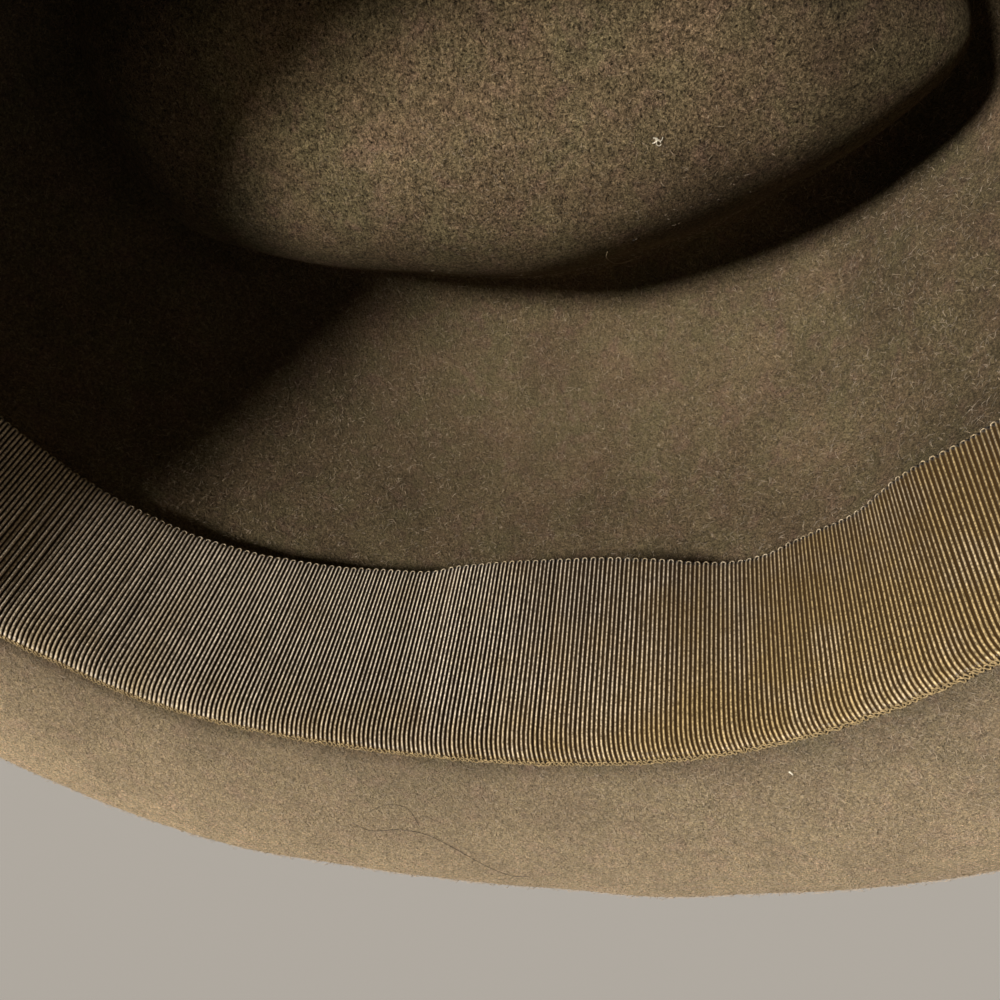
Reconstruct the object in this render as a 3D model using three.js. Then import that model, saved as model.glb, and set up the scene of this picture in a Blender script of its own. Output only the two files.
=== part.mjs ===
// Safari fedora of blocked wool felt, set down on its crown with the opening up.
// Millimetres. The shapes are laid out crown up, with z = 0 at the break between crown and brim,
// x across the head and -y towards the face. The last group turns them over: z = 0 is then the
// surface that the ridge of the crown rests on.
import * as THREE from "three";

// Driving dimensions
const HEAD_HALF_WIDTH = 84.0; // inside the sweatband, at the break
const HEAD_HALF_LENGTH = 102.0;
const FELT = 2.2; // wall of the felt
const RIDGE = 106.6; // inside height of the ridge above the break
const CROWN_HEIGHT = 108.6; // to its top, which is flattened where it rests
const SWEATBAND_WIDTH = 38.1; // 1 1/2 in grosgrain
const SWEATBAND_THICKNESS = 0.8;
const HAT_BAND_LOW = 5.2; // lower edge of the outer ribbon above the break
const HAT_BAND_WIDTH = 35.0;
const HAT_BAND_THICKNESS = 0.9;
const GAP = 0.35; // between a ribbon and the felt
const PINCH_DEPTH = 6.5; // finger dents at the front of the crown
const PINCH_ANGLE = 31; // degrees either side of the middle of the front
const PINCH_HEIGHT = 84;
const STEPS = 60; // sections round the head

const rad = (deg) => (deg * Math.PI) / 180;
const bell = (d, spread) => Math.exp(-((d / spread) ** 2));
const smooth = (t) => {
  const c = Math.min(1, Math.max(0, t));
  return c * c * (3 - 2 * c);
};
const turn = (a) => ((((a + 180) % 360) + 360) % 360) - 180;

// Brim, underside: a row for each line round it. out is the distance outwards from the break,
// curl the rise at the sides and the back, droop the fall at the front.
const BRIM = [
  { out: 67.0, curl: 13.6, droop: -5.0 },
  { out: 62.0, curl: 10.4, droop: -4.7 },
  { out: 57.0, curl: 7.3, droop: -4.3 },
  { out: 51.5, curl: 4.2, droop: -3.9 },
  { out: 45.5, curl: 1.6, droop: -3.4 },
  { out: 38.0, curl: -0.5, droop: -2.8 },
  { out: 27.0, curl: -1.6, droop: -2.0 },
  { out: 14.0, curl: -1.2, droop: -1.1 },
  { out: 4.0, curl: -0.2, droop: -0.2 },
  { out: 1.5, curl: 0.0, droop: 0.0 },
];
const BACK_CURL = 0.8; // share of the side curl that the back has

// Crown, inside: a row for each level from the break over the ridge to the floor of the dent.
// side, back and front are half sizes, boxy squares the back end and taper narrows the front.
const CROWN = [
  { z: 0.8, side: 85.4, back: 103.4, front: 103.4, boxy: 0, taper: 0 },
  { z: 4.0, side: 85.5, back: 103.5, front: 103.5, boxy: 0, taper: 0 },
  { z: 14.0, side: 86.2, back: 104.2, front: 104.2, boxy: 0, taper: 0 },
  { z: 27.0, side: 87.3, back: 105.2, front: 105.0, boxy: 0, taper: 0 },
  { z: 41.0, side: 87.8, back: 105.6, front: 105.2, boxy: 0, taper: 0 },
  { z: 55.0, side: 86.6, back: 104.2, front: 104.0, boxy: 0, taper: 0.01 },
  { z: 68.0, side: 83.6, back: 101.2, front: 101.5, boxy: 0, taper: 0.03 },
  { z: 80.0, side: 78.8, back: 97.0, front: 98.4, boxy: 0.03, taper: 0.07 },
  { z: 90.0, side: 73.0, back: 92.6, front: 96.2, boxy: 0.06, taper: 0.12 },
  { z: 98.0, side: 67.0, back: 88.6, front: 93.8, boxy: 0.1, taper: 0.16 },
  { z: 104.0, side: 61.6, back: 85.0, front: 91.4, boxy: 0.14, taper: 0.2 },
  { z: RIDGE, side: 58.0, back: 82.4, front: 89.2, boxy: 0.18, taper: 0.23 },
  { z: RIDGE, side: 53.2, back: 79.6, front: 86.4, boxy: 0.24, taper: 0.27 },
  { z: 103.0, side: 50.2, back: 78.0, front: 84.7, boxy: 0.3, taper: 0.31 },
  { z: 96.8, side: 46.4, back: 76.8, front: 83.8, boxy: 0.38, taper: 0.36 },
  { z: 89.2, side: 42.2, back: 75.6, front: 82.6, boxy: 0.45, taper: 0.4 },
  { z: 82.0, side: 37.9, back: 73.4, front: 80.8, boxy: 0.5, taper: 0.42 },
  { z: 77.1, side: 33.4, back: 69.2, front: 76.2, boxy: 0.48, taper: 0.4 },
  { z: 72.5, side: 27.0, back: 61.5, front: 66.8, boxy: 0.4, taper: 0.34 },
  { z: 70.4, side: 18.0, back: 43.0, front: 47.6, boxy: 0.26, taper: 0.22 },
  { z: 69.8, side: 8.5, back: 20.1, front: 21.9, boxy: 0.1, taper: 0.1 },
];
const DENT_FLOOR = 69.6;

// How far the head's opening and the ribbon round it stand out from a true oval, by wave.
const OVAL = [
  { at: 55, out: -1.5, spread: 15 },
  { at: 30, out: 0.5, spread: 9 },
  { at: 5, out: -0.9, spread: 12 },
  { at: -26, out: 0.9, spread: 12 },
  { at: -61, out: -1.3, spread: 15 },
];

// How far the side of the brim rises at its fold line, by wave.
const RIPPLES = [
  { at: 46, rise: 1.8, spread: 9 },
  { at: 25, rise: -1.0, spread: 11 },
  { at: 0, rise: 0.8, spread: 10 },
  { at: -32, rise: -1.1, spread: 12 },
];
const RIPPLE_OUT = 50; // distance from the break at which the rises are given

// Sweatband: how far its upper edge leans in from upright, in degrees, with a row for each wave.
const LEAN = 3.0;
const WAVES = [
  { at: -9, lean: 13.0, spread: 14 },
  { at: 4, lean: 2.2, spread: 6 },
  { at: 18, lean: 1.0, spread: 8 },
  { at: -29, lean: -1.6, spread: 6 },
  { at: -53, lean: 4.0, spread: 9 },
  { at: 39, lean: -5.5, spread: 15 },
  { at: 118, lean: 3.0, spread: 22 },
  { at: -128, lean: 2.5, spread: 20 },
];

// The sum of a table's waves at an angle in radians.
const waves = (table, key, angle) =>
  table.reduce(
    (sum, w) => sum + w[key] * bell(turn((angle * 180) / Math.PI - w.at), w.spread),
    0,
  );

// The point of a crown row at an angle, out by a distance level with the head.
function ring(row, angle, out = 0) {
  const c = Math.cos(angle),
    s = Math.sin(angle);
  const end = s > 0 ? 1 + row.boxy * s ** 4 : 1 - row.taper * s * s;
  let x = row.side * c * end,
    y = (s > 0 ? row.back : row.front) * s;
  const n = new THREE.Vector2(
    x / row.side ** 2,
    y / (s > 0 ? row.back : row.front) ** 2,
  ).normalize();
  const sideways = Math.abs(turn((angle * 180) / Math.PI + 90)); // from the front
  const pinch =
    PINCH_DEPTH *
    bell(sideways - PINCH_ANGLE, 13) *
    bell(row.z - PINCH_HEIGHT, 17) *
    row.wall;
  const off =
    out - pinch + waves(OVAL, "out", angle) * smooth((75 - row.z) / 40) * row.wall;
  x += n.x * off;
  y += n.y * off;
  return new THREE.Vector3(x, y, row.z);
}
CROWN.forEach((row, i) => (row.wall = i < 11 ? 1 : i < 14 ? (14 - i) / 4 : 0));

// The crown row at a height of the side wall, between those of the table.
function wallAt(z) {
  const i = CROWN.findIndex((r, k) => k > 0 && r.z >= z),
    a = CROWN[i - 1],
    b = CROWN[i],
    t = (z - a.z) / (b.z - a.z),
    mix = (k) => a[k] + (b[k] - a[k]) * t;
  return {
    z,
    side: mix("side"),
    back: mix("back"),
    front: mix("front"),
    boxy: mix("boxy"),
    taper: mix("taper"),
    wall: 1,
  };
}

function brimPoint(row, angle) {
  const s = Math.sin(angle),
    front = smooth((-s - 0.62) / 0.38),
    back = smooth((s - 0.6) / 0.4);
  const z =
    row.curl * (1 - front) * (1 - (1 - BACK_CURL) * back) +
    row.droop * front +
    waves(RIPPLES, "rise", angle) * smooth(row.out / RIPPLE_OUT);
  const off = 1.4 + row.out + waves(OVAL, "out", angle) * smooth(1 - row.out / 45);
  return new THREE.Vector3(
    (HEAD_HALF_WIDTH + off) * Math.cos(angle),
    (HEAD_HALF_LENGTH + off) * s,
    z,
  );
}

// A closed surface from lists of rings of equal length, each joined to the next. A ring of one
// point closes an end; with loop the last ring joins the first.
function skin(rings, loop) {
  const at = [],
    tris = [],
    start = [];
  for (const r of rings) {
    start.push(at.length / 3);
    for (const p of r) at.push(p.x, p.y, p.z);
  }
  const count = rings.length - (loop ? 0 : 1);
  for (let i = 0; i < count; i++) {
    const j = (i + 1) % rings.length,
      n = Math.max(rings[i].length, rings[j].length);
    for (let k = 0; k < n; k++) {
      const m = (k + 1) % n;
      const a = start[i] + (rings[i].length > 1 ? k : 0),
        b = start[i] + (rings[i].length > 1 ? m : 0),
        c = start[j] + (rings[j].length > 1 ? k : 0),
        d = start[j] + (rings[j].length > 1 ? m : 0);
      if (a !== b) tris.push(a, b, d);
      if (c !== d) tris.push(a, d, c);
    }
  }
  return new THREE.BufferGeometry()
    .setAttribute("position", new THREE.Float32BufferAttribute(at, 3))
    .setIndex(tris)
    .toNonIndexed();
}

function finish(geometry, name, colour, roughness) {
  geometry.computeVertexNormals();
  const mesh = new THREE.Mesh(
    geometry,
    new THREE.MeshStandardMaterial({ color: colour, roughness, metalness: 0 }),
  );
  mesh.name = name;
  return mesh;
}

const ANGLES = Array.from({ length: STEPS }, (_, k) => rad((360 * k) / STEPS));

// Felt: crown and brim are one piece. Its inside is the rows above, its outside stands off them
// by the felt's thickness along the surface's own normal.
function feltBody() {
  const inside = [
    ...BRIM.map((row) => (a) => brimPoint(row, a)),
    ...CROWN.map((row) => (a) => ring(row, a)),
  ];
  const inner = inside.map((f) => ANGLES.map(f));
  const centre = new THREE.Vector3(0, -1, DENT_FLOOR);
  const step = 0.01;
  const outer = inside.map((f, i) =>
    ANGLES.map((a, k) => {
      const round = f(a + step).sub(f(a - step));
      const before = i > 0 ? inner[i - 1][k] : inner[i][k],
        after = i < inner.length - 1 ? inner[i + 1][k] : centre;
      const up = after
        .clone()
        .sub(inner[i][k])
        .normalize()
        .add(
          i > 0
            ? inner[i][k].clone().sub(before).normalize()
            : new THREE.Vector3(),
        );
      const p = round.cross(up).normalize().multiplyScalar(FELT);
      p.add(inner[i][k]);
      if (inner[i][k].z === RIDGE) p.z = CROWN_HEIGHT;
      return p;
    }),
  );
  const top = centre.clone().setZ(DENT_FLOOR + FELT);
  const rings = [[centre], ...inner.reverse(), ...outer, [top]];
  return finish(skin(rings, false), "felt_body", 0x6e5d45, 0.95);
}

// Sweatband: a grosgrain ribbon round the inside, from the break up, waving a little off the felt.
function sweatband() {
  const lean = (a) => rad(LEAN + waves(WAVES, "lean", a));
  const point = (a, up, out) => {
    const n = new THREE.Vector2(
      Math.cos(a) / HEAD_HALF_WIDTH,
      Math.sin(a) / HEAD_HALF_LENGTH,
    ).normalize();
    const off =
      waves(OVAL, "out", a) + out * Math.cos(lean(a)) - up * Math.sin(lean(a));
    return new THREE.Vector3(
      HEAD_HALF_WIDTH * Math.cos(a) + n.x * off,
      HEAD_HALF_LENGTH * Math.sin(a) + n.y * off,
      up * Math.cos(lean(a)) + out * Math.sin(lean(a)),
    );
  };
  const ups = [0, 0.34, 0.67, 1].map((t) => t * SWEATBAND_WIDTH);
  const rings = [
    ...ups.map((u) => ANGLES.map((a) => point(a, u, SWEATBAND_THICKNESS))),
    ...ups.reverse().map((u) => ANGLES.map((a) => point(a, u, 0))),
  ];
  return finish(skin(rings, true), "sweatband", 0x7a6a48, 0.6);
}

// Outer ribbon round the foot of the crown.
function hatBand() {
  const ups = [0, 0.25, 0.5, 0.75, 1].map(
    (t) => HAT_BAND_LOW + t * HAT_BAND_WIDTH,
  );
  const at = (z, out) => ANGLES.map((a) => ring(wallAt(z), a, FELT + GAP + out));
  const rings = [
    ...ups.map((z) => at(z, HAT_BAND_THICKNESS)),
    ...ups.reverse().map((z) => at(z, 0)),
  ];
  return finish(skin(rings, true), "hat_band", 0x4b3f2c, 0.6);
}

const hat = new THREE.Group();
hat.add(feltBody(), sweatband(), hatBand());
hat.rotation.y = Math.PI; // crown down
hat.position.z = CROWN_HEIGHT;

const group = new THREE.Group();
group.add(hat);

export default group;
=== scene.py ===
"""Safari fedora of wool felt, resting on its crown with the opening up.

The shapes are laid out in millimetres with the crown up, as the hat is worn: z = 0 at the break
between crown and brim, x across the head, -y towards the face. place() turns them over into the
row's frame, in metres.
"""

import math

import bpy
import numpy as np
from mathutils import Matrix, Vector
from mathutils.bvhtree import BVHTree


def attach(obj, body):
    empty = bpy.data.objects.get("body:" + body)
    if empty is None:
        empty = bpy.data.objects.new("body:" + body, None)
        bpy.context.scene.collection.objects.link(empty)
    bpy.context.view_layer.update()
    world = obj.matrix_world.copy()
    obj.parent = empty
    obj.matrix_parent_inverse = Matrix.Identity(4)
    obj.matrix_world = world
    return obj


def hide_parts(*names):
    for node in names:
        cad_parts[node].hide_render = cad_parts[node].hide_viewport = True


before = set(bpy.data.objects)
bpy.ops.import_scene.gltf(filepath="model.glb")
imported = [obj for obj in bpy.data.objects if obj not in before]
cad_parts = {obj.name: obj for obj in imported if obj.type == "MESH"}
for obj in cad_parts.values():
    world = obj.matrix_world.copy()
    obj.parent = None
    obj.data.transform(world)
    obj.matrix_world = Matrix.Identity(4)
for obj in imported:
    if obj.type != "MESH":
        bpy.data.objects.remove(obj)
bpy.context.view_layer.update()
RNG = np.random.default_rng(7)

HEAD_HALF_WIDTH = 84.0
HEAD_HALF_LENGTH = 102.0
FELT = 2.2
RIDGE = 106.6
CROWN_HEIGHT = 108.6
RIBBON_WIDTH = 38.1
RIB_PITCH = 0.809
BACK_CURL = 0.8
RIPPLE_OUT = 50.0
TAU = 2 * math.pi


# ---------------------------------------------------------------- camera
def make_camera():
    data = bpy.data.cameras.new("camera")
    data.sensor_width = 36.0
    data.lens = 35.557
    data.clip_start = 0.004
    data.clip_end = 60.0
    cam = bpy.data.objects.new("camera", data)
    bpy.context.scene.collection.objects.link(cam)
    right, up, back = (
        (-0.13300, -0.97704, -0.16641),
        (0.74660, 0.01166, -0.66517),
        (0.65184, -0.21271, 0.72791),
    )
    m = Matrix.Identity(4)
    for i, axis in enumerate((right, up, back)):
        for k in range(3):
            m[k][i] = axis[k]
    m[0][3], m[1][3], m[2][3] = 0.05723, -0.04258, 0.20035
    cam.matrix_world = m
    bpy.context.scene.camera = cam
    return cam


camera = make_camera()


# ---------------------------------------------------------------- shape tables
# out, curl, droop
BRIM = [
    (67.0, 13.6, -5.0),
    (62.0, 10.4, -4.7),
    (57.0, 7.3, -4.3),
    (51.5, 4.2, -3.9),
    (45.5, 1.6, -3.4),
    (38.0, -0.5, -2.8),
    (27.0, -1.6, -2.0),
    (14.0, -1.2, -1.1),
    (4.0, -0.2, -0.2),
    (1.5, 0.0, 0.0),
]
# z, side, back, front, boxy, taper
CROWN = [
    (0.8, 85.4, 103.4, 103.4, 0, 0),
    (4.0, 85.5, 103.5, 103.5, 0, 0),
    (14.0, 86.2, 104.2, 104.2, 0, 0),
    (27.0, 87.3, 105.2, 105.0, 0, 0),
    (41.0, 87.8, 105.6, 105.2, 0, 0),
    (55.0, 86.6, 104.2, 104.0, 0, 0.01),
    (68.0, 83.6, 101.2, 101.5, 0, 0.03),
    (80.0, 78.8, 97.0, 98.4, 0.03, 0.07),
    (90.0, 73.0, 92.6, 96.2, 0.06, 0.12),
    (98.0, 67.0, 88.6, 93.8, 0.10, 0.16),
    (104.0, 61.6, 85.0, 91.4, 0.14, 0.20),
    (RIDGE, 58.0, 82.4, 89.2, 0.18, 0.23),
    (RIDGE, 53.2, 79.6, 86.4, 0.24, 0.27),
    (103.0, 50.2, 78.0, 84.7, 0.30, 0.31),
    (96.8, 46.4, 76.8, 83.8, 0.38, 0.36),
    (89.2, 42.2, 75.6, 82.6, 0.45, 0.40),
    (82.0, 37.9, 73.4, 80.8, 0.50, 0.42),
    (77.1, 33.4, 69.2, 76.2, 0.48, 0.40),
    (72.5, 27.0, 61.5, 66.8, 0.40, 0.34),
    (70.4, 18.0, 43.0, 47.6, 0.26, 0.22),
    (69.8, 8.5, 20.1, 21.9, 0.10, 0.10),
]
# at, out, spread: the head opening's standing out from a true oval
OVAL = [(55, -1.5, 15), (30, 0.5, 9), (5, -0.9, 12), (-26, 0.9, 12), (-61, -1.3, 15)]
# at, rise, spread: ripples of the brim
RIPPLES = [(46, 1.8, 9), (25, -1.0, 11), (0, 0.8, 10), (-32, -1.1, 12)]
# at, lean, spread: the sweatband away from the photographed part
WAVES = [(118, 3.0, 22), (-128, 2.5, 20), (165, 2.2, 15), (-165, -1.5, 12), (84, 1.5, 12), (-95, 2.0, 12)]
# at, off, lean, skew: the sweatband as photographed. off is the lower edge's distance from the
# oval, lean the upper edge's turn inwards and skew the ribs' turn along the band, in degrees
BAND = [
    (-50, -1.1, 7.5, 1.7),
    (-46, -0.7, 6.4, 1.4),
    (-42, -0.2, 3.7, 1.6),
    (-38, 0.2, 4.4, 0.5),
    (-34, 0.6, 4.4, -0.2),
    (-31, 0.8, 2.9, -0.2),
    (-27, 0.9, 3.6, -0.7),
    (-23, 0.9, 6.9, -1.6),
    (-20, 0.7, 10.7, -2.2),
    (-16, 0.4, 13.8, -2.3),
    (-12, 0.0, 16.0, -2.2),
    (-8, -0.3, 15.9, -1.5),
    (-4, -0.7, 15.5, -1.1),
    (-1, -0.9, 13.8, -0.7),
    (3, -1.0, 11.8, -0.6),
    (7, -1.0, 6.6, 0.1),
    (12, -0.9, 5.4, -0.3),
    (16, -0.6, 4.1, -0.8),
    (20, -0.2, 2.7, -1.1),
    (24, 0.2, 2.3, -1.3),
    (28, 0.5, 0.7, -1.3),
    (32, 0.5, 0.0, -1.4),
    (36, 0.0, -1.9, -1.4),
    (41, -1.1, -3.0, -1.8),
]


def bell(d, spread):
    return np.exp(-((d / spread) ** 2))


def smooth(t):
    c = np.clip(t, 0, 1)
    return c * c * (3 - 2 * c)


def turn(a):
    return (a + 180) % 360 - 180


def unit(v):
    return v / np.maximum(np.linalg.norm(v, axis=-1, keepdims=True), 1e-12)


def waves(table, deg):
    return sum(amount * bell(turn(deg - at), spread) for at, amount, spread in table)


# The band's three measures on a fine grid of angles, eased into the plain waves away from it.
GRID = np.arange(-180, 180, 0.25)


def band_measure(column, elsewhere, ease=14):
    at = np.array([r[0] for r in BAND], float)
    v = np.interp(GRID, at, [r[column] for r in BAND])
    weight = smooth((GRID + 62) / 14) * smooth((42 + ease - GRID) / ease)
    mixed = v * weight + elsewhere * (1 - weight)
    kernel = np.exp(-((np.arange(-12, 13) * 0.25 / 1.6) ** 2))
    kernel /= kernel.sum()
    n = len(mixed)
    return np.convolve(np.concatenate([mixed[-12:], mixed, mixed[:12]]), kernel, "same")[12 : 12 + n]


OFF = band_measure(1, waves(OVAL, GRID))
LEAN = band_measure(2, 3.0 + waves(WAVES, GRID), 40)
SKEW = band_measure(3, np.sin(np.radians(GRID * 3)) * 0.8, 30)


def at_angle(values, deg):
    return np.interp(turn(deg), np.append(GRID, 180.0), np.append(values, values[0]))


# A crown row at angles, in radians. wall is 1 on the side wall and 0 in the dent.
def ring(row, angle, wall=1.0, out=0.0):
    z, side, back, front, boxy, taper = row
    c, s = np.cos(angle), np.sin(angle)
    deg = np.degrees(angle)
    end = np.where(s > 0, 1 + boxy * s**4, 1 - taper * s * s)
    far = np.where(s > 0, back, front)
    x, y = side * c * end, far * s
    n = unit(np.stack([x / side**2, y / far**2], -1))
    sideways = np.abs(turn(deg + 90))
    pinch = 6.5 * bell(sideways - 31, 13) * bell(z - 84, 17) * wall
    off = out - pinch + at_angle(OFF, deg) * smooth((75 - z) / 40) * wall
    return np.stack([x + n[..., 0] * off, y + n[..., 1] * off, np.full_like(x, z)], -1)


def brim_row(row, angle):
    out, curl, droop = row
    s = np.sin(angle)
    deg = np.degrees(angle)
    front, back = smooth((-s - 0.62) / 0.38), smooth((s - 0.6) / 0.4)
    z = (
        curl * (1 - front) * (1 - (1 - BACK_CURL) * back)
        + droop * front
        + waves(RIPPLES, deg) * smooth(out / RIPPLE_OUT)
    )
    off = 1.4 + out + at_angle(OFF, deg) * smooth(1 - out / 45)
    return np.stack(
        [(HEAD_HALF_WIDTH + off) * np.cos(angle), (HEAD_HALF_LENGTH + off) * s, z], -1
    )


# ---------------------------------------------------------------- mesh helpers
def place(p):
    """Crown-up millimetres to the row's frame in metres."""
    p = np.asarray(p, float)
    return np.stack([-p[..., 0], p[..., 1], CROWN_HEIGHT - p[..., 2]], -1) / 1000


def make_piece(name, verts, quads=None, tris=None, attrs=None, material=None, outward=True, second=None):
    """verts in crown-up millimetres. second is (material, which faces take it)."""
    v = place(verts).reshape(-1, 3)
    faces = []
    if quads is not None and len(quads):
        faces.append(np.asarray(quads, np.int64).reshape(-1, 4))
    if tris is not None and len(tris):
        faces.append(np.asarray(tris, np.int64).reshape(-1, 3))
    if outward:
        volume = 0.0
        for f in faces:
            a = v[f[:, 0]]
            for k in range(1, f.shape[1] - 1):
                volume += np.einsum("ij,ij->", a, np.cross(v[f[:, k]], v[f[:, k + 1]]))
        if volume < 0:
            faces = [f[:, ::-1] for f in faces]
    loops = np.concatenate([f.ravel() for f in faces]).astype(np.int32)
    sizes = np.concatenate([np.full(len(f), f.shape[1]) for f in faces])
    starts = np.concatenate([[0], np.cumsum(sizes)[:-1]]).astype(np.int32)
    me = bpy.data.meshes.new(name)
    me.vertices.add(len(v))
    me.vertices.foreach_set("co", v.astype(np.float32).ravel())
    me.loops.add(len(loops))
    me.loops.foreach_set("vertex_index", loops)
    me.polygons.add(len(sizes))
    me.polygons.foreach_set("loop_start", starts)
    me.update(calc_edges=True)
    me.polygons.foreach_set("use_smooth", np.ones(len(sizes), bool))
    for key, values in (attrs or {}).items():
        a = me.attributes.new(key, "FLOAT", "POINT")
        a.data.foreach_set("value", np.asarray(values, np.float32).ravel())
    me.validate()
    ob = bpy.data.objects.new(name, me)
    bpy.context.scene.collection.objects.link(ob)
    if material:
        me.materials.append(material)
    if second:
        me.materials.append(second[0])
        me.polygons.foreach_set("material_index", np.asarray(second[1], np.int32))
    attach(ob, "root")
    return ob


def grid_quads(rows, cols, wrap_rows=False):
    i = np.arange(rows if wrap_rows else rows - 1)[:, None]
    j = np.arange(cols)[None, :]
    i2, j2 = (i + 1) % rows, (j + 1) % cols
    return np.stack(
        [i * cols + j, i * cols + j2, i2 * cols + j2, i2 * cols + j], -1
    ).reshape(-1, 4)


def tubes(paths, radius, sides, ref, closed=False):
    """Tubes along paths, an array of tube by point by 3, as vertices, quads and triangles."""
    m, k, _ = paths.shape
    if closed:
        tangent = np.roll(paths, -1, 1) - np.roll(paths, 1, 1)
    else:
        tangent = np.gradient(paths, axis=1)
    tangent = unit(tangent)
    a = unit(np.cross(tangent, ref))
    b = np.cross(tangent, a)
    ang = TAU * np.arange(sides) / sides
    r = np.broadcast_to(radius, (m, k))[:, :, None, None]
    p = paths[:, :, None, :] + r * (
        np.cos(ang)[None, None, :, None] * a[:, :, None, :]
        + np.sin(ang)[None, None, :, None] * b[:, :, None, :]
    )
    one = grid_quads(k, sides, wrap_rows=closed)
    if closed:
        verts, count = p.reshape(m, k * sides, 3), k * sides
        tris = None
    else:
        verts = np.concatenate([p.reshape(m, k * sides, 3), paths[:, :1], paths[:, -1:]], 1)
        count = k * sides + 2
        s = np.arange(sides)
        s2 = (s + 1) % sides
        cap0 = np.stack([np.full(sides, count - 2), s2, s], -1)
        last = (k - 1) * sides
        cap1 = np.stack([np.full(sides, count - 1), last + s, last + s2], -1)
        cap = np.concatenate([cap0, cap1])
        tris = (cap[None] + (np.arange(m) * count)[:, None, None]).reshape(-1, 3)
    quads = (one[None] + (np.arange(m) * count)[:, None, None]).reshape(-1, 4)
    return verts.reshape(-1, 3), quads, tris


def join(parts):
    """Several (verts, quads, tris) as one."""
    verts, quads, tris, base = [], [], [], 0
    for v, q, t in parts:
        verts.append(v)
        if q is not None and len(q):
            quads.append(q + base)
        if t is not None and len(t):
            tris.append(t + base)
        base += len(v)
    return (
        np.concatenate(verts),
        np.concatenate(quads) if quads else None,
        np.concatenate(tris) if tris else None,
    )


# Slow unevenness of the blocked felt, by place.
_k = unit(RNG.normal(size=(14, 3))) * (TAU / RNG.uniform(16, 60, (14, 1)))
_phase = RNG.uniform(0, TAU, 14)
_amount = RNG.uniform(0.03, 0.085, 14)


def uneven(p):
    return (np.sin(p @ _k.T + _phase) * _amount).sum(-1)


# ---------------------------------------------------------------- materials
def new_material(name):
    m = bpy.data.materials.new(name)
    m.use_nodes = True
    nt = m.node_tree
    nt.nodes.clear()
    out = nt.nodes.new("ShaderNodeOutputMaterial")
    bsdf = nt.nodes.new("ShaderNodeBsdfPrincipled")
    nt.links.new(bsdf.outputs[0], out.inputs["Surface"])
    coord = nt.nodes.new("ShaderNodeTexCoord")
    return m, nt, bsdf, coord.outputs["Object"]


def noise(nt, vector, scale, detail=2.0, rough=0.5, distort=0.0):
    n = nt.nodes.new("ShaderNodeTexNoise")
    n.inputs["Scale"].default_value = scale
    n.inputs["Detail"].default_value = detail
    n.inputs["Roughness"].default_value = rough
    n.inputs["Distortion"].default_value = distort
    nt.links.new(vector, n.inputs["Vector"])
    return n.outputs["Fac"]


def remap(nt, value, a, b, c=0.0, d=1.0):
    n = nt.nodes.new("ShaderNodeMapRange")
    for key, v in (("From Min", a), ("From Max", b), ("To Min", c), ("To Max", d)):
        n.inputs[key].default_value = v
    nt.links.new(value, n.inputs["Value"])
    return n.outputs["Result"]


def mix(nt, fac, a, b, mode="MIX"):
    n = nt.nodes.new("ShaderNodeMix")
    n.data_type = "RGBA"
    n.blend_type = mode
    for key, v in ((0, fac), (6, a), (7, b)):
        if isinstance(v, bpy.types.NodeSocket):
            nt.links.new(v, n.inputs[key])
        elif key == 0:
            n.inputs[key].default_value = v
        else:
            n.inputs[key].default_value = (*v, 1.0) if len(v) == 3 else v
    return n.outputs[2]


def math_node(nt, op, a, b=None):
    n = nt.nodes.new("ShaderNodeMath")
    n.operation = op
    for i, v in enumerate((a, b)):
        if v is None:
            continue
        if isinstance(v, bpy.types.NodeSocket):
            nt.links.new(v, n.inputs[i])
        else:
            n.inputs[i].default_value = v
    return n.outputs[0]


def attribute(nt, name):
    n = nt.nodes.new("ShaderNodeAttribute")
    n.attribute_name = name
    return n.outputs["Fac"]


def bump(nt, height, distance, strength=1.0, normal=None):
    n = nt.nodes.new("ShaderNodeBump")
    n.inputs["Distance"].default_value = distance
    n.inputs["Strength"].default_value = strength
    nt.links.new(height, n.inputs["Height"])
    if normal is not None:
        nt.links.new(normal, n.inputs["Normal"])
    return n.outputs["Normal"]


def curl(nt, vector, scale, distort, width):
    """Thin curved lines: 1 along them and 0 between."""
    away = math_node(nt, "ABSOLUTE", math_node(nt, "SUBTRACT", noise(nt, vector, scale, 0, 0.5, distort), 0.5))
    return remap(nt, away, 0.0, width, 1.0, 0.0)


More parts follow.
